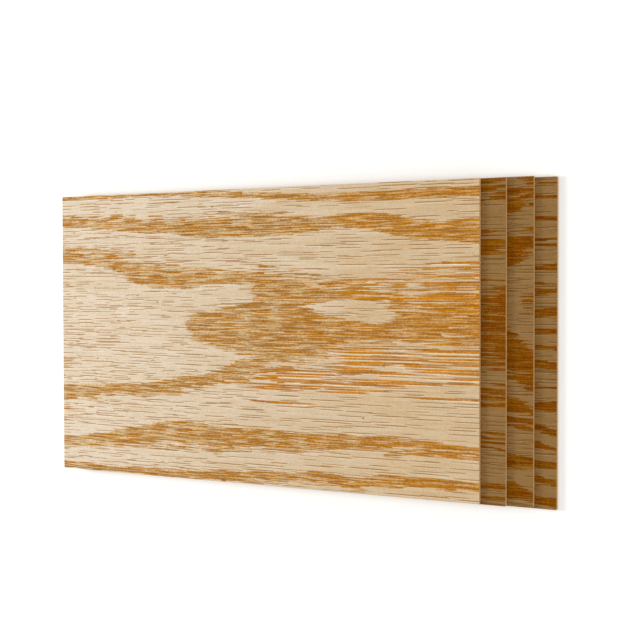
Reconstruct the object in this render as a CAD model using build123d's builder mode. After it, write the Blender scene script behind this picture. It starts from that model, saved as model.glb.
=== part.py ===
"""Fanned stack of four thin hardwood-faced plywood sheets, lying flat on a floor.

Units are millimetres and +Z is up. X runs along the sheets and their face grain, Y across them.
The origin is on the floor, under the middle of the stack's outline.
"""

import os

from build123d import *

# One sheet of stock, twelve by twenty inches and an eighth of an inch thick
sheet_length = 508.0
sheet_width = 304.8
sheet_thickness = 3.2
corner_radius = 1.0
arris_radius = 0.25

# How much of each covered sheet's +X end is left showing by the sheet that lies on it
bottom_end_showing = 21.5
third_end_showing = 26.0
second_end_showing = 25.0

# How far each sheet lies off the stack's centre line, as a hand leaves it
bottom_drift = -0.6
third_drift = 0.5
second_drift = -0.3
top_drift = 0.4

# From the floor up: the sheet's name, how far it is drawn back from the sheet below, and its drift
lay_up = [
    ("sheet_bottom", 0, bottom_drift),
    ("sheet_third", bottom_end_showing, third_drift),
    ("sheet_second", third_end_showing, second_drift),
    ("sheet_top", second_end_showing, top_drift),
]

# The stack's outline is centred on the origin
drawn_back_in_all = sum(drawn_back for _, drawn_back, _ in lay_up)
drifts = [drift for _, _, drift in lay_up]
middle_drift = (max(drifts) + min(drifts)) / 2

os.makedirs("parts", exist_ok=True)
sheet_x = drawn_back_in_all / 2
for level, (name, drawn_back, drift) in enumerate(lay_up):
    sheet_x -= drawn_back
    lying_on = Plane((sheet_x, drift - middle_drift, level * sheet_thickness))

    with BuildPart() as sheet:
        with BuildSketch(lying_on):
            RectangleRounded(sheet_length, sheet_width, corner_radius)
        extrude(amount=sheet_thickness)
        # Both faces are sanded after sawing, which takes the sharpness off their edges
        fillet(sheet.faces().filter_by(Axis.Z).edges(), radius=arris_radius)

    sheet.part.label = name
    export_step(sheet.part, f"parts/{name}.step")
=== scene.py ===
"""Looks of a fanned stack of four thin oak-faced plywood sheets, lying flat on a pale floor.

All lengths are metres in the frame of the stack, unless a name says otherwise.
X runs along the sheets and their face grain, Y across them and Z up.
On a sheet, u is the share of its length from the left end and v the share of its width from the near side.
"""

import logging
import math
from abc import ABC, abstractmethod
from dataclasses import dataclass, field, replace
from enum import Enum
from typing import ClassVar, TypeAlias

import bpy
from mathutils import Matrix, Vector

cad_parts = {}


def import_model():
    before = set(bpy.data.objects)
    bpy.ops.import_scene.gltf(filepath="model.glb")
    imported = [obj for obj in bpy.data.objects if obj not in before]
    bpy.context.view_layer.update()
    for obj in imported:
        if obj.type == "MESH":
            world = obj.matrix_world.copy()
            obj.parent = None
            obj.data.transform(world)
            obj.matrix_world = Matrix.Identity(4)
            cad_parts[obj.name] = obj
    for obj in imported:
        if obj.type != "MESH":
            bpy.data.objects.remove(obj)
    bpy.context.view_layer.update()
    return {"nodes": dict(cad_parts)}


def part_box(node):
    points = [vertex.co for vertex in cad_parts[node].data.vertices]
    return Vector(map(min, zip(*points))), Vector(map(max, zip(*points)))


LOG = logging.getLogger("plywood_stack")
MILLIMETRE = 0.001

Socket: TypeAlias = bpy.types.NodeSocket
Sockets: TypeAlias = dict[str, Socket]
Value: TypeAlias = Socket | float | tuple[float, ...]
Pair: TypeAlias = tuple[Value, Value]
Points: TypeAlias = tuple[tuple[float, float], ...]
Colour: TypeAlias = tuple[float, float, float, float]

# The middle of a noise, of a chance and of a sheet's thickness, which all run from 0 to 1.
MIDDLE = 0.5
RISE = (0.0, 1.0)
FALL = (1.0, 0.0)

# A display's colour curve: a straight toe, then a power.
DISPLAY_TOP = 255
TOE_END = 0.04045
TOE_SLOPE = 12.92
CURVE_OFFSET = 0.055
CURVE_POWER = 2.4
OPAQUE = 1.0


class SocketKind(Enum):
    """What a node group's socket carries."""

    VALUE = "NodeSocketFloat"
    COLOUR = "NodeSocketColor"
    VECTOR = "NodeSocketVector"

    def named(self, *names: str) -> dict[str, "SocketKind"]:
        """Gives this kind to the sockets of these names."""
        return dict.fromkeys(names, self)


class SheetNode(Enum):
    """The sheets of the stack, from the floor up."""

    BOTTOM = "sheet_bottom"
    THIRD = "sheet_third"
    SECOND = "sheet_second"
    TOP = "sheet_top"


def colour(red: int, green: int, blue: int) -> Colour:
    """Turns a display colour into the linear colour that shaders take.

    Args:
        red: red part, 0 to 255.
        green: green part, 0 to 255.
        blue: blue part, 0 to 255.

    Returns:
        The linear colour with full alpha.
    """
    parts = [part / DISPLAY_TOP for part in (red, green, blue)]
    linear = [
        part / TOE_SLOPE if part <= TOE_END else ((part + CURVE_OFFSET) / (1 + CURVE_OFFSET)) ** CURVE_POWER
        for part in parts
    ]
    return (*linear, OPAQUE)


WHITE = colour(DISPLAY_TOP, DISPLAY_TOP, DISPLAY_TOP)


class NodeWiring:
    """Adds nodes to one node tree and wires them."""

    # A Mix node has sockets of one name for each kind of data, so those for colours go by their places.
    MIX_COLOURS = (6, 7)
    MIX_RESULT = 2
    NEW_POINT = (0.5, 0.5)
    NOISE_ROUGHNESS = 0.5

    def __init__(self, tree: bpy.types.NodeTree) -> None:
        """Takes the node tree that is wired."""
        self.tree = tree

    def feed(self, socket: Socket, value: Value) -> None:
        """Links a value to a socket, or sets it there if it is constant.

        Args:
            socket: the input socket.
            value: another node's output, a number, or a colour or vector.
        """
        if isinstance(value, bpy.types.NodeSocket):
            self.tree.links.new(value, socket)
        else:
            socket.default_value = value

    def node(self, kind: str, *values: Value, **settings: object) -> bpy.types.Node:
        """Adds a node.

        Args:
            kind: Blender's name for the node's type.
            values: what feeds its first inputs, in order.
            settings: the node's own properties.

        Returns:
            The new node.
        """
        made = self.tree.nodes.new(kind)
        for name, value in settings.items():
            setattr(made, name, value)
        for socket, value in zip(made.inputs, values):
            self.feed(socket, value)
        return made

    def math(self, operation: str, *values: Value) -> Socket:
        """Adds a Math node and gives its result."""
        return self.node("ShaderNodeMath", *values, operation=operation).outputs[0]

    def centred(self, value: Value) -> Socket:
        """Moves a value that lies about the middle so that it lies about 0."""
        return self.math("SUBTRACT", value, MIDDLE)

    def span(self, value: Value, old: Pair, new: tuple[float, float] = RISE) -> Socket:
        """Maps a value smoothly from the old range to the new one and clamps it there."""
        made = self.node("ShaderNodeMapRange", value, *old, *new, interpolation_type="SMOOTHSTEP")
        return made.outputs["Result"]

    def mix(self, share: Value, first: Value, second: Value, blend: str = "MIX") -> Socket:
        """Mixes two colours.

        Args:
            share: how much of the second colour, 0 to 1.
            first: the colour at 0.
            second: the colour at 1.
            blend: Blender's name for the way of mixing.

        Returns:
            The mixed colour.
        """
        made = self.node("ShaderNodeMix", share, data_type="RGBA", blend_type=blend)
        for place, given in zip(self.MIX_COLOURS, (first, second)):
            self.feed(made.inputs[place], given)
        return made.outputs[self.MIX_RESULT]

    def paint(self, base: Value, mask: Value, share: float, over: Value) -> Socket:
        """Lays one colour over another, as far as a mask and a share say."""
        return self.mix(self.math("MULTIPLY", mask, share), base, over)

    def vector(self, *parts: Value) -> Socket:
        """Puts two or three numbers together."""
        return self.node("ShaderNodeCombineXYZ", *parts).outputs[0]

    def parts(self, vector: Value) -> list[Socket]:
        """Takes a vector or colour apart into its three numbers."""
        return list(self.node("ShaderNodeSeparateXYZ", vector).outputs)

    def scaled(self, run: Sockets, size: Pair) -> Socket:
        """Measures a place along and across the grain in waves or cells of one length and width."""
        return self.vector(*(self.math("DIVIDE", part, side) for part, side in zip(run.values(), size)))

    def noise(
        self, vector: Value, detail: float, roughness: float = NOISE_ROUGHNESS, flat: bool = True
    ) -> Socket:
        """Adds a noise of about one wave for each unit of its vector.

        Args:
            vector: where the noise is read.
            detail: number of finer waves on it.
            roughness: how strong those are.
            flat: whether only two of the vector's numbers count.

        Returns:
            The noise, 0 to 1 about the middle.
        """
        made = self.node("ShaderNodeTexNoise", vector, noise_dimensions="2D" if flat else "3D")
        for name, value in (("Scale", 1.0), ("Detail", detail), ("Roughness", roughness)):
            made.inputs[name].default_value = value
        return made.outputs["Fac"]

    def cells(self, run: Sockets, size: Pair, scatter: float = 1.0) -> tuple[list[Socket], list[Socket]]:
        """Adds a mosaic of cells.

        Args:
            run: the place along and across the grain, by name.
            size: how long and how thick a cell is.
            scatter: how far the cells stray from a regular grid, 0 to 1.

        Returns:
            The middle of the cell at that place, along and across the grain, and the cell's three chances.
        """
        place = self.scaled(run, size)
        made = self.node("ShaderNodeTexVoronoi", place, voronoi_dimensions="2D", feature="F1")
        for name, value in (("Scale", 1.0), ("Randomness", scatter)):
            made.inputs[name].default_value = value
        middle = zip(self.parts(made.outputs["Position"]), size)
        chances = self.parts(made.outputs["Color"])
        return [self.math("MULTIPLY", part, side) for part, side in middle], chances

    def curve(self, points: Points, value: Value) -> Socket:
        """Adds a smooth curve through points.

        Args:
            points: the points, as shares, from left to right.
            value: where the curve is read.

        Returns:
            The curve's height there.
        """
        made = self.node("ShaderNodeFloatCurve")
        line = made.mapping.curves[0].points
        for _ in points[2:]:
            line.new(*self.NEW_POINT)
        for point, place in zip(line, points):
            point.location = place
            point.handle_type = "AUTO_CLAMPED"
        made.mapping.update()
        self.feed(made.inputs["Value"], value)
        return made.outputs[0]

    def seen(self) -> Socket:
        """Adds the test for rays that show a thing: straight, mirrored or through glass.

        Returns:
            1 for such a ray and 0 for one that only brings light.
        """
        rays = self.node("ShaderNodeLightPath").outputs
        seen = self.math("MAXIMUM", rays["Is Camera Ray"], rays["Is Glossy Ray"])
        return self.math("MAXIMUM", seen, rays["Is Transmission Ray"])

    def effect(self, effect: "SharedEffect", **given: Value) -> Sockets:
        """Places a shared node group.

        Args:
            effect: the group.
            given: values for its inputs, by name.

        Returns:
            Its outputs, by name.
        """
        made = self.node("ShaderNodeGroup", node_tree=effect.tree())
        for name, value in given.items():
            self.feed(made.inputs[name], value)
        return {socket.name: socket for socket in made.outputs}


class SharedEffect(ABC):
    """An effect that several materials use, as one shader node group."""

    name: ClassVar[str]
    takes: ClassVar[dict[str, SocketKind]]
    gives: ClassVar[dict[str, SocketKind]]

    wiring: NodeWiring
    given: Sockets

    def tree(self) -> bpy.types.NodeTree:
        """Gives the node group, and builds it the first time.

        Returns:
            The group's node tree.
        """
        known = bpy.data.node_groups.get(self.name)
        if known is not None:
            return known
        tree = bpy.data.node_groups.new(self.name, "ShaderNodeTree")
        for in_out, sockets in (("INPUT", self.takes), ("OUTPUT", self.gives)):
            for name, kind in sockets.items():
                tree.interface.new_socket(name, in_out=in_out, socket_type=kind.value)
        self.wiring = NodeWiring(tree)
        start = self.wiring.node("NodeGroupInput")
        end = self.wiring.node("NodeGroupOutput")
        self.given = {name: start.outputs[name] for name in self.takes}
        for name, value in self.wire().items():
            self.wiring.feed(end.inputs[name], value)
        return tree

    @property
    def run(self) -> Sockets:
        """The place along and across the grain that the group is given, by name."""
        return {name: self.given[name] for name in ("Along", "Across")}

    @abstractmethod
    def wire(self) -> Sockets:
        """Wires the group and gives its outputs, by name."""


class GrainRun(SharedEffect):
    """Places on a sheet in millimetres, along and across a grain that wanders as real fibres do."""

    name = "grain_run"
    takes = SocketKind.VECTOR.named("Place") | SocketKind.VALUE.named("Length", "Width", "Start")
    gives = SocketKind.VALUE.named("Along", "Across")

    WAVE_MM = (160.0, 70.0)
    WAVE_HEIGHT_MM = 1.3
    WAVE_DETAIL = 1.0

    def wire(self) -> Sockets:
        """Wires the group.

        Returns:
            What the group gives, by name.
        """
        wiring = self.wiring
        u, v, _ = wiring.parts(self.given["Place"])
        along = wiring.math("MULTIPLY_ADD", u, self.given["Length"], self.given["Start"])
        across = wiring.math("MULTIPLY", v, self.given["Width"])
        place = wiring.scaled({"Along": along, "Across": across}, self.WAVE_MM)
        wave = wiring.centred(wiring.noise(place, self.WAVE_DETAIL))
        return {"Along": along, "Across": wiring.math("MULTIPLY_ADD", wave, self.WAVE_HEIGHT_MM, across)}


class FibreCells(SharedEffect):
    """A mosaic of long narrow fibres, each with a middle and two chances of its own."""

    name = "fibre_cells"
    takes = SocketKind.VALUE.named("Along", "Across", "Length", "Thickness")
    gives = SocketKind.VALUE.named("Along", "Across", "Luck", "Shade")

    def wire(self) -> Sockets:
        """Wires the group and gives its outputs, by name."""
        middle, chance = self.wiring.cells(self.run, (self.given["Length"], self.given["Thickness"]))
        return {"Along": middle[0], "Across": middle[1], "Luck": chance[0], "Shade": chance[1]}

    @classmethod
    def laid(cls, wiring: NodeWiring, run: Sockets, size_mm: tuple[float, float]) -> Sockets:
        """Lays fibres of one length and thickness and gives their middles and chances, by name."""
        length, thickness = size_mm
        return wiring.effect(cls(), **run, Length=length, Thickness=thickness)


class GrowthBand(SharedEffect):
    """How dense the open spring wood is across one growth ring.

    It is sharp on the ring's near edge and feathered on its far one.
    """

    name = "growth_band"
    takes = SocketKind.VALUE.named("V", "Near", "Far", "Fade", "Strength")
    gives = SocketKind.VALUE.named("Density")

    EDGE_SHARE = 0.001
    REACH_SHARE = 1.2

    def wire(self) -> Sockets:
        """Wires the group.

        Returns:
            What the group gives, by name.
        """
        wiring = self.wiring
        ring = wiring.math("SUBTRACT", self.given["Far"], self.given["Near"])
        inside = wiring.math("SUBTRACT", self.given["V"], self.given["Near"])
        depth = wiring.math("DIVIDE", inside, ring)
        past_edge = wiring.math("MULTIPLY", inside, wiring.math("SIGN", ring))
        rise = wiring.span(past_edge, (-self.EDGE_SHARE, self.EDGE_SHARE))
        fading_from = wiring.math("SUBTRACT", 1.0, self.given["Fade"])
        fall = wiring.span(depth, (fading_from, self.REACH_SHARE), FALL)
        shape = wiring.math("MULTIPLY", rise, fall)
        return {"Density": wiring.math("MULTIPLY", shape, self.given["Strength"])}


@dataclass(frozen=True)
class Dashes:
    """Dashes of one kind on a face.

    step_mm is how far apart they lie along and across the grain.
    rarity is the share of them that is left out, and warm_rarity what warm wood adds to it.
    """

    step_mm: tuple[float, float]
    length_mm: float
    thickness_mm: Value
    rarity: float = 0.0
    warm_rarity: float = 0.0

    def sizes(self) -> dict[str, Value]:
        """Gives the sizes by the names of the dashes' inputs."""
        names = ("Step along", "Step across", "Length", "Thickness")
        return dict(zip(names, (*self.step_mm, self.length_mm, self.thickness_mm)))


class GrainDashes(SharedEffect):
    """Scattered dashes along the grain, such as cut-open vessels, each with a middle and a chance.

    Beside each lies a painted highlight shaped like a dash, where light would catch the rim of its hollow.
    Raggedness is how far fibres break their outlines, and at the middle they leave them as they are.
    """

    name = "grain_dashes"
    takes = SocketKind.VALUE.named(
        "Along", "Across", "Step along", "Step across", "Length", "Thickness", "Raggedness"
    )
    gives = SocketKind.VALUE.named("Mask", "Lip", "Along", "Across", "Luck")

    SCATTER_SHARE = 0.8
    # Along and across the grain: the smallest half size, as a share, and what luck adds to it.
    REACH_SHARES = ((0.24, 0.38), (0.34, 0.18))
    ALONG_BLUNTNESS = 4.0
    ACROSS_BLUNTNESS = 2.0
    # Each painted highlight lies this share of a dash's thickness to one side of it.
    LIP_SHARE = 0.75
    OUTLINE = (0.4, 1.2)

    def wire(self) -> Sockets:
        """Wires the group.

        Returns:
            What the group gives, by name.
        """
        wiring = self.wiring
        steps = (self.given["Step along"], self.given["Step across"])
        sizes = (self.given["Length"], self.given["Thickness"])
        middle, chance = wiring.cells(self.run, steps, self.SCATTER_SHARE)
        reaches = [
            wiring.math("MULTIPLY", size, wiring.math("MULTIPLY_ADD", luck, spread, smallest))
            for size, luck, (smallest, spread) in zip(sizes, chance, self.REACH_SHARES)
        ]
        along, across = (
            wiring.math("SUBTRACT", part, centre) for part, centre in zip(self.run.values(), middle)
        )
        glint_across = wiring.math("MULTIPLY_ADD", self.given["Thickness"], self.LIP_SHARE, across)
        along_part = self.part(along, reaches[0], self.ALONG_BLUNTNESS)
        masks = {}
        for name, away in (("Mask", across), ("Lip", glint_across)):
            across_part = self.part(away, reaches[1], self.ACROSS_BLUNTNESS)
            masks[name] = self.inside(wiring.math("ADD", along_part, across_part))
        return masks | {"Along": middle[0], "Across": middle[1], "Luck": chance[2]}

    def inside(self, outline: Socket) -> Socket:
        """Wires 1 in a dash and 0 outside it, from a value that is 1 on its outline and less inside."""
        breaking = self.wiring.math("ADD", self.given["Raggedness"], MIDDLE)
        return self.wiring.span(self.wiring.math("MULTIPLY", outline, breaking), self.OUTLINE, FALL)

    def part(self, away: Socket, reach: Socket, bluntness: float) -> Socket:
        """Wires how far a place lies from a dash's middle one way: 1 at its reach and less within."""
        share = self.wiring.math("DIVIDE", self.wiring.math("ABSOLUTE", away), reach)
        return self.wiring.math("POWER", share, bluntness)

    @classmethod
    def laid(cls, wiring: NodeWiring, run: Sockets, dashes: Dashes, raggedness: Value = MIDDLE) -> Sockets:
        """Lays dashes of one kind and gives their masks, middles and chances, by name."""
        return wiring.effect(cls(), **run, **dashes.sizes(), Raggedness=raggedness)


class OakFace(SharedEffect):
    """Sanded red-oak face: colour, roughness and relief from spring wood, pores, fibres and painted
    highlights.
    """

    name = "oak_face"
    takes = SocketKind.VALUE.named(
        "Along", "Across", "Cover", "Streak", "Warmth", "Pore", "Lip", "Fleck", "Speck"
    ) | SocketKind.COLOUR.named(
        "Pale cool", "Pale warm", "Pale pore", "Tan", "Orange", "Streak light", "Streak dark", "Brown",
        "Cream", "Dark pore", "Sliver",
    )
    gives = SocketKind.COLOUR.named("Colour") | SocketKind.VALUE.named("Roughness", "Height")

    # Three mosaics of fibres, and how far each shades the wood. Open wood is shaded more.
    FIBRE_MM = (45.0, 1.4)
    HAIR_MM = (18.0, 0.9)
    GRIT_MM = (1.3, 0.9)
    FIBRE_TONE = 0.12
    HAIR_TONE = 0.08
    OPEN_HAIR_TONE = 0.16
    GRIT_TONE = 0.16
    OPEN_GRIT_TONE = 0.32
    TONE_TINT = (0.75, 1.0, 1.6)

    # Summer wood, and the specks on the face.
    CLOUD_MM = (90.0, 14.0)
    CLOUD_DETAIL = 2.0
    CLOUD_REACH = 0.9
    # How strongly painted highlights beside pores and streaks cover the summer wood.
    LIP_SHARE = 0.82
    PALE_PORE_SHARE = 0.8
    FLECK_SHARE = 0.75
    SPECK_SHARE = 0.8
    SPECK = colour(74, 48, 28)

    # Spring wood.
    STRANDS = Dashes(step_mm=(32.0, 1.8), length_mm=45.0, thickness_mm=1.4)
    WARM_STRAND_MM = 0.25
    WARM = (0.45, 1.0)
    WARM_GOLD = 0.18
    WARM_TAN = 0.45
    BROWN_LUCK = (0.82, 0.94)
    BROWN_SHARE = 0.6
    SLIVER_FROM = 0.66
    WARM_SLIVER_FROM = 0.19
    SLIVER_SOFTNESS = 0.1
    SLIVER_SHARE = 0.9
    WARM_SLIVER_TAN = 0.55
    DARK_PORE_SHARE = 0.35

    # Long streaks.
    STREAK_SHARE = 0.93
    STREAK_DARK_LUCK = (0.3, 0.9)
    STREAK_BROWN_LUCK = (0.8, 0.92)
    STREAK_BROWN_SHARE = 0.12
    STREAK_PALE_SHADE = (0.84, 0.94)
    STREAK_PALE_SHARE = 0.2

    # Relief.
    PORE_DEPTH = 0.6
    OPEN_DEPTH = 0.25
    HAIR_HEIGHT = 0.12
    ROUGHNESS = 0.55
    HOLLOW_ROUGHNESS = 0.2

    def wire(self) -> Sockets:
        """Wires the group.

        Returns:
            What the group gives, by name.
        """
        wiring = self.wiring
        given = self.given
        sizes_mm = (self.FIBRE_MM, self.HAIR_MM, self.GRIT_MM)
        fibre, hair, grit = (FibreCells.laid(wiring, self.run, size_mm) for size_mm in sizes_mm)
        wood = wiring.mix(given["Cover"], self.summer(), self.spring(hair))
        wood = wiring.paint(wood, given["Streak"], self.STREAK_SHARE, self.streak(fibre, hair))
        wood = wiring.paint(wood, given["Speck"], self.SPECK_SHARE, self.SPECK)
        open_wood = wiring.math("MAXIMUM", given["Cover"], given["Streak"])
        hair_tone = wiring.math("MULTIPLY_ADD", open_wood, self.OPEN_HAIR_TONE, self.HAIR_TONE)
        grit_tone = wiring.math("MULTIPLY_ADD", open_wood, self.OPEN_GRIT_TONE, self.GRIT_TONE)
        change: Value = 0.0
        for cells, reach in ((fibre, self.FIBRE_TONE), (hair, hair_tone), (grit, grit_tone)):
            change = wiring.math("MULTIPLY_ADD", wiring.centred(cells["Shade"]), reach, change)
        tone = wiring.vector(*(wiring.math("MULTIPLY_ADD", change, tint, 1.0) for tint in self.TONE_TINT))
        open_depth = wiring.math("MULTIPLY", open_wood, self.OPEN_DEPTH)
        hollow = wiring.math("MULTIPLY_ADD", given["Pore"], self.PORE_DEPTH, open_depth)
        hair_height = wiring.math("MULTIPLY", hair["Shade"], self.HAIR_HEIGHT)
        return {
            "Colour": wiring.mix(1.0, wood, tone, "MULTIPLY"),
            "Roughness": wiring.math("MULTIPLY_ADD", hollow, self.HOLLOW_ROUGHNESS, self.ROUGHNESS),
            "Height": wiring.math("SUBTRACT", hair_height, hollow),
        }

    def summer(self) -> Socket:
        """Wires the colour of the dense summer wood, with its pores, flecks and painted highlights.

        Returns:
            The colour.
        """
        wiring = self.wiring
        given = self.given
        cloud = wiring.centred(wiring.noise(wiring.scaled(self.run, self.CLOUD_MM), self.CLOUD_DETAIL))
        warmth = wiring.math("MULTIPLY_ADD", cloud, self.CLOUD_REACH, given["Warmth"])
        summer = wiring.mix(warmth, given["Pale cool"], given["Pale warm"])
        # Painted highlights beside pores and streaks, where light would catch their rims.
        summer = wiring.paint(summer, given["Lip"], self.LIP_SHARE, given["Cream"])
        summer = wiring.paint(summer, given["Pore"], self.PALE_PORE_SHARE, given["Pale pore"])
        return wiring.paint(summer, given["Fleck"], self.FLECK_SHARE, given["Orange"])

    def spring(self, hair: Sockets) -> Socket:
        """Wires the colour of the open spring wood: orange strands in tan, brown lines and pale slivers.

        Args:
            hair: the mosaic of fine fibres.

        Returns:
            The colour.
        """
        wiring = self.wiring
        given = self.given
        warmth = given["Warmth"]
        thickness = wiring.math("MULTIPLY_ADD", warmth, self.WARM_STRAND_MM, self.STRANDS.thickness_mm)
        strands = replace(self.STRANDS, thickness_mm=thickness)
        strand = GrainDashes.laid(wiring, self.run, strands, hair["Luck"])
        tan, gold = (
            wiring.mix(wiring.span(warmth, self.WARM, (0.0, share)), given[name], given["Streak light"])
            for name, share in (("Tan", self.WARM_TAN), ("Orange", self.WARM_GOLD))
        )
        spring = wiring.mix(strand["Mask"], tan, gold)
        brown = wiring.span(hair["Luck"], self.BROWN_LUCK, (0.0, self.BROWN_SHARE))
        spring = wiring.mix(brown, spring, given["Brown"])
        sliver_from = wiring.math("MULTIPLY_ADD", warmth, self.WARM_SLIVER_FROM, self.SLIVER_FROM)
        sliver_to = wiring.math("ADD", sliver_from, self.SLIVER_SOFTNESS)
        sliver = wiring.span(hair["Shade"], (sliver_from, sliver_to), (0.0, self.SLIVER_SHARE))
        pale = wiring.paint(given["Sliver"], warmth, self.WARM_SLIVER_TAN, tan)
        spring = wiring.mix(sliver, spring, pale)
        return wiring.paint(spring, given["Pore"], self.DARK_PORE_SHARE, given["Dark pore"])

    def streak(self, fibre: Sockets, hair: Sockets) -> Socket:
        """Wires the colour of the long streaks, cleaner than the spring wood of the bands.

        Args:
            fibre: the mosaic of fibres.
            hair: the finer mosaic.

        Returns:
            The colour.
        """
        wiring = self.wiring
        given = self.given
        dark = wiring.span(fibre["Luck"], self.STREAK_DARK_LUCK)
        streak = wiring.mix(dark, given["Streak light"], given["Streak dark"])
        brown = wiring.span(hair["Luck"], self.STREAK_BROWN_LUCK, (0.0, self.STREAK_BROWN_SHARE))
        streak = wiring.mix(brown, streak, given["Brown"])
        pale = wiring.span(hair["Shade"], self.STREAK_PALE_SHADE, (0.0, self.STREAK_PALE_SHARE))
        return wiring.mix(pale, streak, given["Pale warm"])


class BackFigure(SharedEffect):
    """How dense the spring wood is on a sheet's plain back veneer, whose rings run straight along it."""

    name = "back_figure"
    takes = SocketKind.VALUE.named("Along", "Across")
    gives = SocketKind.VALUE.named("Density")

    RING_MM = (700.0, 17.0)
    RING_DETAIL = 2.0
    OPEN = (0.48, 0.62)

    def wire(self) -> Sockets:
        """Wires the group and gives its outputs, by name."""
        rings = self.wiring.noise(self.wiring.scaled(self.run, self.RING_MM), self.RING_DETAIL)
        return {"Density": self.wiring.span(rings, self.OPEN)}


class SawnEdge(SharedEffect):
    """Where a sheet's sawn edge is, and its three plies."""

    name = "sawn_edge"
    takes = SocketKind.VECTOR.named("Place") | SocketKind.VALUE.named("Along", "Across")
    gives = SocketKind.VALUE.named("Mask") | SocketKind.COLOUR.named("Colour")

    # How far a surface faces up or down, from a sawn edge to a flat face.
    FACING = (0.35, 0.75)
    VENEER_SHARE = 0.18
    GLUE_SHARE = 0.035
    GLUE_DEPTH = 0.6
    MOTTLE_MM = 5.0
    MOTTLE_LAYERS = 8.0
    MOTTLE_DETAIL = 3.0
    MOTTLE_ROUGHNESS = 0.6
    MOTTLE = (0.3, 0.7)
    CORE_LIGHT = colour(206, 172, 122)
    CORE_DARK = colour(190, 151, 101)
    VENEER = colour(184, 135, 74)
    GLUE = colour(128, 88, 50)

    def wire(self) -> Sockets:
        """Wires the group.

        Returns:
            What the group gives, by name.
        """
        wiring = self.wiring
        normal = wiring.node("ShaderNodeNewGeometry").outputs["Normal"]
        mask = wiring.span(wiring.math("ABSOLUTE", wiring.parts(normal)[2]), self.FACING, FALL)
        height = wiring.parts(self.given["Place"])[2]
        from_middle = wiring.math("ABSOLUTE", wiring.centred(height))
        run = [wiring.math("DIVIDE", part, self.MOTTLE_MM) for part in self.run.values()]
        place = wiring.vector(*run, wiring.math("MULTIPLY", height, self.MOTTLE_LAYERS))
        mottle = wiring.noise(place, self.MOTTLE_DETAIL, self.MOTTLE_ROUGHNESS, flat=False)
        core = wiring.mix(wiring.span(mottle, self.MOTTLE), self.CORE_LIGHT, self.CORE_DARK)
        veneer_from = MIDDLE - self.VENEER_SHARE
        veneer = wiring.span(from_middle, (veneer_from - self.GLUE_SHARE, veneer_from + self.GLUE_SHARE))
        plies = wiring.mix(veneer, core, self.VENEER)
        off_glue = wiring.math("ABSOLUTE", wiring.math("SUBTRACT", from_middle, veneer_from))
        glue = wiring.span(off_glue, (0.0, self.GLUE_SHARE), (self.GLUE_DEPTH, 0.0))
        return {"Mask": mask, "Colour": wiring.mix(glue, plies, self.GLUE)}


class Fibre(Enum):
    """What the spring wood of a ring is made of."""

    SHORT = "short fibres that fill the ring"
    LONG = "long streaks with pale wood between them"


@dataclass(frozen=True)
class Ring:
    """One band of open spring wood on a sheet's face.

    near and far are its sharp and its feathered edge, as shares (u, v) of the sheet.
    fade is the share of the band over which it thins out towards far, and strength how dense it is.
    Both may change along the sheet, and are then shares at each u.
    """

    near: Points
    far: Points
    fade: float | Points = 0.3
    strength: float | Points = 1.0
    fibre: Fibre = Fibre.SHORT

    def shares(self) -> dict[str, float | Points]:
        """Gives the ring's shares by the names of the band's inputs."""
        return {"Near": self.near, "Far": self.far, "Fade": self.fade, "Strength": self.strength}


def level(share: float) -> Points:
    """Makes a line that stays at one share all along a sheet."""
    return ((0, share), (1, share))


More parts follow.
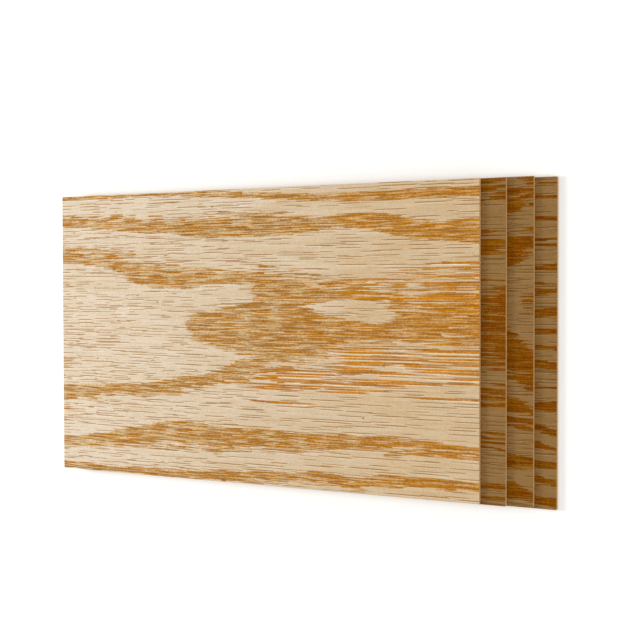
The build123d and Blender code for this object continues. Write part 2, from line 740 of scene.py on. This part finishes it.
# The figure of the top sheet, from its far side to its near one.
TOP_RINGS = (
    # Along the far side.
    Ring(
        near=((0, .985), (.25, .988), (.37, .98), (.46, .973), (.52, .966), (.60, .956), (.71, .945),
              (1, .947)),
        far=((0, 1.0), (.37, 1.0), (.52, .985), (.71, .972), (1, .976)),
        fade=((0, .2), (.5, .15), (.65, .05), (1, .05)),
    ),
    # The next one in.
    Ring(
        near=((0, .888), (.13, .874), (.23, .858), (.30, .854), (.37, .836), (.53, .836), (.67, .854),
              (.70, .860), (.79, .847), (.83, .830), (.94, .809), (1, .800)),
        far=((0, .936), (.13, .926), (.20, .918), (.33, .910), (.50, .918), (.62, .900), (.76, .908),
             (.81, .904), (.84, .886), (.94, .871), (1, .873)),
        fade=((0, .5), (.3, .4), (.6, .15), (1, .15)),
    ),
    # The far arm of the heart.
    Ring(
        near=((0, .757), (.12, .737), (.16, .715), (.20, .677), (.35, .661), (.37, .677), (.49, .676),
              (.51, .622), (.56, .612), (.61, .608), (.65, .612), (.71, .627), (.77, .623), (.80, .610),
              (.84, .575), (1, .52)),
        far=((0, .830), (.13, .808), (.21, .787), (.31, .758), (.42, .735), (.54, .728), (.67, .705),
             (.76, .69), (.88, .72), (1, .735)),
        fade=((0, .58), (.2, .55), (.4, .48), (.6, .4), (1, .3)),
        strength=((0, 1), (.64, 1), (.72, .85), (.82, .65), (1, .5)),
    ),
    # The heart itself.
    Ring(
        near=((0, .53), (.336, .53), (.350, .57), (.41, .586), (.446, .606), (.56, .617), (.617, .608),
              (.656, .582), (.74, .557), (.79, .550), (.855, .595), (1, .625)),
        far=((0, .52), (.343, .52), (.357, .490), (.394, .480), (.46, .440), (.497, .415), (.53, .37),
             (.60, .385), (.66, .42), (.70, .465), (.75, .482), (1, .488)),
        fade=((0, .12), (.45, .12), (.53, .3), (.62, .35), (1, .3)),
        strength=((0, 0), (.332, 0), (.342, 1), (1, 1)),
    ),
    # The near arm of the heart.
    Ring(
        near=((0, .3085), (.13, .319), (.262, .333), (.308, .3545), (.394, .371), (.446, .409), (.52, .43),
              (1, .43)),
        far=((0, .256), (.06, .256), (.13, .276), (.25, .286), (.34, .302), (.39, .322), (.46, .345),
             (.6, .35), (1, .35)),
        fade=.22,
        strength=((0, 1), (.44, 1), (.54, .4), (.62, 0), (1, 0)),
    ),
    # Streaks to the right of the near arm.
    Ring(
        near=((0, .36), (.53, .37), (.60, .42), (.66, .45), (.80, .48), (1, .505)),
        far=((0, .29), (.5, .29), (.6, .27), (.8, .28), (1, .30)),
        fade=.6,
        strength=((0, 0), (.42, 0), (.52, .52), (.62, .7), (.72, .86), (1, .86)),
        fibre=Fibre.LONG,
    ),
    # Streaks over the right end of the far arm.
    Ring(
        near=((0, .61), (.80, .61), (.84, .59), (1, .57)),
        far=((0, .70), (.70, .70), (.78, .71), (.88, .72), (1, .735)),
        strength=((0, 0), (.70, 0), (.78, .7), (.86, .95), (1, .95)),
        fibre=Fibre.LONG,
    ),
    # Two faint patches at the left end.
    Ring(
        near=level(.372),
        far=((0, .43), (.03, .40), (1, .40)),
        strength=((0, .55), (.02, .4), (.035, 0), (1, 0)),
    ),
    Ring(near=level(.235), far=level(.185), strength=((0, .3), (.04, .22), (.075, 0), (1, 0))),
    # The last one but one.
    Ring(
        near=((0, .117), (.066, .127), (.13, .146), (.26, .188), (.33, .201), (.46, .188), (.51, .1925),
              (.62, .185), (.79, .188), (.92, .183), (1, .174)),
        far=((0, .075), (.13, .09), (.26, .108), (.46, .102), (.50, .118), (.62, .12), (.72, .134),
             (.92, .13), (1, .132)),
        strength=((0, 1), (.7, 1), (.85, .9), (1, .85)),
    ),
    # Along the near side.
    Ring(
        near=((0, .028), (.13, .022), (.26, .026), (.34, .032), (.46, .042), (.58, .05), (.656, .059),
              (.72, .05), (.81, .068), (1, .067)),
        far=((0, 0), (.36, 0), (.46, .008), (.656, .02), (.72, .014), (.85, .031), (1, .039)),
    ),
)
TOP_WARMTH = ((0, .1), (.35, .35), (.6, .6), (.8, .85), (1, .95))
TOP_SPECKS = ((.403, .943), (.261, .615), (.757, .245), (.774, .398), (.802, .415), (.098, .41))

END_FROM = 0.95
END_FADE = 0.12


def end_rings(*ends: tuple[float, float, float, float]) -> tuple[Ring, ...]:
    """Makes rings that run the length of a sheet and bend near its right end.

    Args:
        ends: for each ring its near and far share where the end begins to show, then at the end itself.

    Returns:
        The rings.
    """
    return tuple(
        Ring(
            near=((0, near), (END_FROM, near), (1, end_near)),
            far=((0, far), (END_FROM, far), (1, end_far)),
            fade=END_FADE,
        )
        for near, far, end_near, end_far in ends
    )


# The figures of the covered sheets, of which only the right ends show.
SECOND_RINGS = end_rings(
    (.993, 1.0, .993, 1.0), (.989, .984, .989, .989), (.979, .96, .979, .972), (.958, .953, .958, .953),
    (.94, .934, .952, .937), (.845, .833, .838, .838), (.828, .824, .828, .826), (.816, .79, .812, .79),
    (.783, .768, .779, .772), (.692, .685, .692, .685), (.668, .664, .671, .655), (.372, .372, .374, .364),
    (.36, .345, .352, .338), (.337, .32, .33, .318), (.316, .300, .314, .304), (.225, .217, .223, .215),
    (.208, .203, .208, .201), (.197, .188, .195, .187), (.183, .174, .176, .168), (.066, .05, .066, .052),
    (.03, .02, .029, .019),
) + (
    Ring(near=level(.655), far=level(.432), fade=.1, fibre=Fibre.LONG),
    Ring(near=level(.65), far=level(.432), fade=.1, strength=.82),
)
THIRD_RINGS = end_rings(
    (.992, .992, .998, .986), (.978, .978, .982, .973), (.968, .946, .964, .957), (.938, .912, .958, .938),
    (.92, .893, .912, .912), (.836, .836, .846, .831), (.823, .812, .82, .808), (.733, .808, .78, .806),
    (.532, .42, .477, .40), (.402, .386, .41, .353), (.334, .283, .306, .281), (.276, .258, .27, .252),
    (.252, .242, .244, .232), (.163, .118, .147, .118), (.073, .022, .05, .022),
) + (
    Ring(near=level(.65), far=level(.585), strength=((0, 0), (.975, 0), (.99, .22), (1, .3))),
)
BOTTOM_RINGS = end_rings(
    (.983, .983, .983, .978), (.946, .937, .944, .937), (.883, .869, .88, .868), (.812, .808, .819, .81),
    (.799, .791, .798, .791), (.732, .719, .742, .719), (.685, .676, .676, .676), (.666, .65, .666, .65),
    (.604, .58, .609, .58), (.547, .53, .545, .53), (.498, .48, .492, .481), (.451, .426, .444, .421),
    (.379, .374, .366, .366), (.37, .362, .37, .364), (.322, .30, .328, .292), (.259, .238, .244, .221),
    (.204, .186, .192, .177), (.147, .128, .144, .124), (.104, .078, .09, .07), (.041, .01, .036, .008),
)


@dataclass(frozen=True)
class OakTone:
    """The colours of one oak veneer."""

    pale_cool: Colour
    pale_warm: Colour
    pale_pore: Colour
    tan: Colour
    orange: Colour
    streak_light: Colour
    streak_dark: Colour
    brown: Colour
    # The colour of the painted highlights beside pores and streaks.
    cream: Colour
    dark_pore: Colour
    sliver: Colour

    def values(self) -> dict[str, Colour]:
        """Gives the colours by the names of the face's inputs."""
        return {name.replace("_", " ").capitalize(): value for name, value in vars(self).items()}


LIGHT_OAK = OakTone(
    pale_cool=colour(228, 211, 187),
    pale_warm=colour(217, 188, 147),
    pale_pore=colour(158, 104, 38),
    tan=colour(210, 175, 123),
    orange=colour(182, 119, 31),
    streak_light=colour(209, 133, 8),
    streak_dark=colour(178, 109, 14),
    brown=colour(148, 95, 30),
    cream=colour(245, 228, 197),
    dark_pore=colour(134, 92, 62),
    sliver=colour(211, 184, 144),
)
# The same oak, darker and warmer, for the covered sheets: painted shade, as if their exposed ends lay in
# the shade of the sheets above.
SHADED_OAK = OakTone(
    pale_cool=colour(152, 115, 69),
    pale_warm=colour(152, 115, 69),
    pale_pore=colour(112, 76, 34),
    tan=colour(138, 86, 4),
    orange=colour(132, 67, 0),
    streak_light=colour(138, 76, 0),
    streak_dark=colour(132, 67, 0),
    brown=colour(108, 47, 0),
    cream=colour(168, 134, 86),
    dark_pore=colour(98, 48, 4),
    sliver=colour(138, 92, 24),
)


@dataclass(frozen=True)
class OakPlywood:
    """Sanded red-oak plywood: the finish of one sheet.

    start_mm sets where along an endless veneer the sheet begins, so that no two sheets have the same pores.
    warmth is how warm the wood is at each u.
    """

    name: str
    rings: tuple[Ring, ...]
    tone: OakTone
    start_mm: float
    warmth: Points = level(.4)
    specks: Points = ()
    fibre_mm: tuple[float, float] = (18.0, 0.9)
    stagger_share: float = 0.7
    splinter_mm: tuple[float, float] = (18.0, 0.9)
    streaks: Dashes = Dashes(step_mm=(90.0, 2.8), length_mm=122.0, thickness_mm=2.5)
    pores: Dashes = Dashes(step_mm=(24.0, 3.3), length_mm=30.0, thickness_mm=1.05, warm_rarity=0.92)
    hairlines: Dashes = Dashes(
        step_mm=(40.0, 4.4), length_mm=46.0, thickness_mm=1.2, rarity=0.95, warm_rarity=-0.92
    )
    flecks: Dashes = Dashes(
        step_mm=(15.0, 4.5), length_mm=8.0, thickness_mm=1.2, rarity=0.66, warm_rarity=0.6
    )
    bump_strength: float = 0.25
    bump_mm: float = 0.15
    specular: float = 0.02

    def material(self, low: Vector, high: Vector) -> bpy.types.Material:
        """Makes the material of a sheet.

        Args:
            low: the sheet's lowest corner.
            high: its highest corner.

        Returns:
            The material.
        """
        made = bpy.data.materials.new(self.name)
        made.use_nodes = True
        wiring = NodeWiring(made.node_tree)
        shader = made.node_tree.nodes["Principled BSDF"]
        veneer = VeneerWiring(wiring, self, low, high)
        face = veneer.face()
        edge = wiring.effect(SawnEdge(), Place=veneer.place, **veneer.run)
        wiring.feed(shader.inputs["Base Color"], wiring.mix(edge["Mask"], face["Colour"], edge["Colour"]))
        wiring.feed(shader.inputs["Roughness"], face["Roughness"])
        bump = wiring.node("ShaderNodeBump")
        bump.inputs["Strength"].default_value = self.bump_strength
        bump.inputs["Distance"].default_value = self.bump_mm * MILLIMETRE
        wiring.feed(bump.inputs["Height"], face["Height"])
        wiring.feed(shader.inputs["Normal"], bump.outputs[0])
        shader.inputs["Specular IOR Level"].default_value = self.specular
        return made


class VeneerWiring:
    """Wires the veneer of one sheet in the sheet's material."""

    KEPT_SOFTNESS = 0.14
    SPECK_MM = 1.6
    # How strongly the painted highlights beside the dashes show, less on warm wood.
    LIP_LIGHT = 0.915
    WARM_LIP_LIGHT = -0.55

    def __init__(self, wiring: NodeWiring, finish: OakPlywood, low: Vector, high: Vector) -> None:
        """Wires where a point lies on the sheet.

        Args:
            wiring: the material's wiring.
            finish: the sheet's finish.
            low: the sheet's lowest corner.
            high: its highest corner.
        """
        self.wiring = wiring
        self.finish = finish
        size = high - low
        self.size_mm = size / MILLIMETRE
        mapping = wiring.node("ShaderNodeMapping", wiring.node("ShaderNodeTexCoord").outputs["Object"])
        mapping.inputs["Scale"].default_value = [1 / side for side in size]
        mapping.inputs["Location"].default_value = [-corner / side for corner, side in zip(low, size)]
        self.place = mapping.outputs[0]
        self.u, self.v, height = wiring.parts(self.place)
        self.on_top = wiring.math("GREATER_THAN", height, MIDDLE)
        self.warmth = wiring.curve(finish.warmth, self.u)
        self.run = wiring.effect(
            GrainRun(), Place=self.place, Length=self.size_mm.x, Width=self.size_mm.y, Start=finish.start_mm
        )

    def face(self) -> Sockets:
        """Wires the whole face.

        Returns:
            Its colour, roughness and height, by name.
        """
        wiring = self.wiring
        pore, pore_glint = self.scattered(self.finish.pores)
        hairline, hairline_glint = self.scattered(self.finish.hairlines)
        fleck, _ = self.scattered(self.finish.flecks)
        streak, streak_glint = self.streaked()
        # Painted highlights beside pores, hairlines and streaks, weaker on warm wood.
        lit = wiring.math("MULTIPLY_ADD", self.warmth, self.WARM_LIP_LIGHT, self.LIP_LIGHT)
        glint = wiring.math("MULTIPLY", wiring.math("MAXIMUM", pore_glint, hairline_glint), lit)
        return wiring.effect(
            OakFace(),
            **self.run,
            Cover=self.filled(),
            Streak=streak,
            Warmth=self.warmth,
            Pore=wiring.math("MAXIMUM", pore, hairline),
            Lip=wiring.math("MAXIMUM", glint, streak_glint),
            Fleck=fleck,
            Speck=self.specked(),
            **self.finish.tone.values(),
        )

    def kept(self, made: Sockets, share: Socket) -> list[Socket]:
        """Wires the masks of dashes and of the painted highlights beside them, as far as each dash is kept.
        """
        return [self.wiring.math("MULTIPLY", made[name], share) for name in ("Mask", "Lip")]

    def scattered(self, dashes: Dashes) -> list[Socket]:
        """Wires dashes all over the face, some of them left out.

        Args:
            dashes: how large the dashes are, how far apart and how rare.

        Returns:
            The masks of the dashes and of the painted highlights beside them.
        """
        made = GrainDashes.laid(self.wiring, self.run, dashes)
        left_out = self.wiring.math("MULTIPLY_ADD", self.warmth, dashes.warm_rarity, dashes.rarity)
        all_kept = self.wiring.math("ADD", left_out, self.KEPT_SOFTNESS)
        return self.kept(made, self.wiring.span(made["Luck"], (left_out, all_kept)))

    def density(self, fibre: Fibre, along: Socket, across: Socket) -> Value:
        """Wires how dense the spring wood of the rings is at a place.

        Args:
            fibre: which rings count.
            along: the place along the grain.
            across: the place across the grain.

        Returns:
            The density, 0 to 1.
        """
        wiring = self.wiring
        u = wiring.math("DIVIDE", wiring.math("SUBTRACT", along, self.finish.start_mm), self.size_mm.x)
        v = wiring.math("DIVIDE", across, self.size_mm.y)
        total: Value = 0.0
        for ring in self.finish.rings:
            if ring.fibre is not fibre:
                continue
            shares = {
                name: wiring.curve(share, u) if isinstance(share, tuple) else share
                for name, share in ring.shares().items()
            }
            band = wiring.effect(GrowthBand(), V=v, **shares)
            total = wiring.math("MAXIMUM", total, band["Density"])
        return total

    def filled(self) -> Socket:
        """Wires where short fibres are spring wood, by the rings on the face and the figure on the back.

        Returns:
            1 on spring wood and 0 elsewhere.
        """
        wiring = self.wiring
        cells = FibreCells.laid(wiring, self.run, self.finish.fibre_mm)
        to_middle = wiring.math("SUBTRACT", cells["Along"], self.run["Along"])
        along = wiring.math("MULTIPLY_ADD", to_middle, self.finish.stagger_share, self.run["Along"])
        front = self.density(Fibre.SHORT, along, cells["Across"])
        back = wiring.effect(BackFigure(), Along=cells["Along"], Across=cells["Across"])["Density"]
        shown = wiring.math("MULTIPLY_ADD", self.on_top, wiring.math("SUBTRACT", front, back), back)
        return wiring.math("GREATER_THAN", shown, cells["Luck"])

    def streaked(self) -> list[Socket]:
        """Wires the long streaks of spring wood on the face.

        Returns:
            The masks of the streaks and of the painted highlights beside them.
        """
        wiring = self.wiring
        splinters = FibreCells.laid(wiring, self.run, self.finish.splinter_mm)
        made = GrainDashes.laid(wiring, self.run, self.finish.streaks, splinters["Luck"])
        dense = self.density(Fibre.LONG, made["Along"], made["Across"])
        lucky = wiring.math("GREATER_THAN", dense, made["Luck"])
        return self.kept(made, wiring.math("MULTIPLY", lucky, self.on_top))

    def specked(self) -> Socket:
        """Wires the few dark specks of the face.

        Returns:
            1 on a speck and 0 elsewhere.
        """
        wiring = self.wiring
        total: Value = 0.0
        for speck_u, speck_v in self.finish.specks:
            right = wiring.math("MULTIPLY", wiring.math("SUBTRACT", self.u, speck_u), self.size_mm.x)
            up = wiring.math("MULTIPLY", wiring.math("SUBTRACT", self.v, speck_v), self.size_mm.y)
            square = wiring.math("MULTIPLY_ADD", right, right, wiring.math("MULTIPLY", up, up))
            speck = wiring.span(wiring.math("SQRT", square), (0.0, self.SPECK_MM), FALL)
            total = wiring.math("MAXIMUM", total, speck)
        return wiring.math("MULTIPLY", total, self.on_top)


@dataclass
class PlywoodSheet:
    """One sheet of the stack."""

    node: SheetNode
    finish: OakPlywood
    low: Vector = field(init=False)
    high: Vector = field(init=False)

    def __post_init__(self) -> None:
        """Reads where the sheet lies from the frame."""
        self.low, self.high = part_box(self.node.value)

    def dress(self, sheet: bpy.types.Object) -> None:
        """Gives the sheet its finish.

        Args:
            sheet: the sheet's object.
        """
        material = self.finish.material(self.low, self.high)
        sheet.data.materials.clear()
        sheet.data.materials.append(material)
        LOG.info("%s dressed in %s", sheet.name, material.name)


@dataclass
class PlywoodStack:
    """The stack: four sheets, each drawn back from the one below it."""

    sheets: tuple[PlywoodSheet, ...]

    def build(self, nodes: dict[str, bpy.types.Object]) -> None:
        """Dresses the sheets, which are among the frame's objects by name."""
        for sheet in self.sheets:
            sheet.dress(nodes[sheet.node.value])


@dataclass(frozen=True)
class SoftLamp:
    """A round soft lamp."""

    name: str
    place: tuple[float, float, float]
    size: float
    power: float

    def hang(self, aim: Vector) -> None:
        """Hangs the lamp.

        Args:
            aim: the point that it shines on.
        """
        light = bpy.data.lights.new(self.name, "AREA")
        light.shape = "DISK"
        light.size = self.size
        light.energy = self.power
        lamp = bpy.data.objects.new(self.name, light)
        bpy.context.scene.collection.objects.link(lamp)
        lamp.location = self.place
        lamp.rotation_euler = (aim - lamp.location).to_track_quat("-Z", "Y").to_euler()
        LOG.info("%s lamp hung", self.name)


@dataclass
class Studio:
    """Floor, light and camera.

    floor_glow is how strongly the floor glows to the eye at the two distances of floor_glow_reach.
    camera_offset is the middle of the top face as the camera sees it: right, up and, below 0, ahead.
    """

    face_centre: Vector
    floor_half: float = 6.0
    floor_colour: Colour = colour(247, 246, 243)
    floor_roughness: float = 0.9
    floor_specular: float = 0.1
    floor_glow: tuple[float, float] = (0.2, 0.43)
    floor_glow_reach: tuple[float, float] = (0.45, 1.6)
    sky_light: float = 0.66
    lamps: tuple[SoftLamp, ...] = (
        SoftLamp("key", place=(-2.2, 0.1, 0.95), size=0.8, power=39.0),
        SoftLamp("fill", place=(2.4, -0.3, 0.42), size=1.0, power=16.0),
    )
    camera_lens_mm: float = 74.73
    camera_sensor_mm: float = 36.0
    camera_swing_deg: float = -30.45
    camera_pitch_deg: float = 1.52
    camera_roll_deg: float = 0.13
    camera_offset: tuple[float, float, float] = (-0.0703, -0.0172, -1.3684)

    def build(self) -> None:
        """Makes the floor, the light and the camera."""
        self.make_floor()
        self.make_light()
        self.make_camera()

    def make_floor(self) -> None:
        """Makes a pale floor that keeps the stack's shadow."""
        half = self.floor_half
        corners = [(-half, -half, 0), (half, -half, 0), (half, half, 0), (-half, half, 0)]
        mesh = bpy.data.meshes.new("floor")
        mesh.from_pydata(corners, [], [range(len(corners))])
        floor = bpy.data.objects.new("floor", mesh)
        bpy.context.scene.collection.objects.link(floor)
        material = bpy.data.materials.new("studio_floor")
        material.use_nodes = True
        wiring = NodeWiring(material.node_tree)
        shader = material.node_tree.nodes["Principled BSDF"]
        shader.inputs["Base Color"].default_value = self.floor_colour
        shader.inputs["Roughness"].default_value = self.floor_roughness
        shader.inputs["Specular IOR Level"].default_value = self.floor_specular
        shader.inputs["Emission Color"].default_value = WHITE
        place = wiring.node("ShaderNodeTexCoord").outputs["Object"]
        away = wiring.node("ShaderNodeVectorMath", place, operation="LENGTH").outputs["Value"]
        glow = wiring.span(away, self.floor_glow_reach, self.floor_glow)
        wiring.feed(shader.inputs["Emission Strength"], wiring.math("MULTIPLY", wiring.seen(), glow))
        mesh.materials.append(material)
        LOG.info("floor laid")

    def make_light(self) -> None:
        """Makes the soft sky, a low key lamp on the left and a weaker one on the right."""
        world = bpy.data.worlds.new("studio_sky")
        bpy.context.scene.world = world
        world.use_nodes = True
        wiring = NodeWiring(world.node_tree)
        sky = world.node_tree.nodes["Background"]
        sky.inputs["Color"].default_value = WHITE
        strength = wiring.math("MULTIPLY_ADD", wiring.seen(), 1.0 - self.sky_light, self.sky_light)
        wiring.feed(sky.inputs["Strength"], strength)
        for lamp in self.lamps:
            lamp.hang(self.face_centre)

    def make_camera(self) -> None:
        """Makes the camera that looks down on the stack."""
        lens = bpy.data.cameras.new("camera")
        lens.lens = self.camera_lens_mm
        lens.sensor_width = self.camera_sensor_mm
        camera = bpy.data.objects.new("camera", lens)
        bpy.context.scene.collection.objects.link(camera)
        angles = ((self.camera_roll_deg, "Z"), (self.camera_pitch_deg, "X"), (self.camera_swing_deg, "Y"))
        roll, pitch, swing = (Matrix.Rotation(math.radians(angle), 3, axis) for angle, axis in angles)
        turn = (roll @ pitch @ swing).transposed()
        place = self.face_centre - turn @ Vector(self.camera_offset)
        camera.matrix_world = Matrix.Translation(place) @ turn.to_4x4()
        bpy.context.scene.camera = camera
        LOG.info("camera placed")


def main() -> None:
    """Builds the stack's looks, the studio and the camera."""
    logging.basicConfig(level=logging.INFO, format="%(name)s: %(message)s")
    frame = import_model()
    finishes = {
        # The covered sheets take the darker copy of the oak, which is painted shade.
        SheetNode.BOTTOM: OakPlywood("oak_bottom", BOTTOM_RINGS, SHADED_OAK, start_mm=3000.0),
        SheetNode.THIRD: OakPlywood("oak_third", THIRD_RINGS, SHADED_OAK, start_mm=2000.0),
        SheetNode.SECOND: OakPlywood("oak_second", SECOND_RINGS, SHADED_OAK, start_mm=1000.0),
        SheetNode.TOP: OakPlywood(
            "oak_top", TOP_RINGS, LIGHT_OAK, start_mm=0.0, warmth=TOP_WARMTH, specks=TOP_SPECKS
        ),
    }
    stack = PlywoodStack(tuple(PlywoodSheet(node, finish) for node, finish in finishes.items()))
    stack.build(frame["nodes"])
    low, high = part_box(SheetNode.TOP.value)
    middle = (low + high) / 2
    Studio(face_centre=Vector((middle.x, middle.y, high.z))).build()
    bpy.context.scene.view_settings.view_transform = "Standard"


if __name__ == "__main__":
    main()
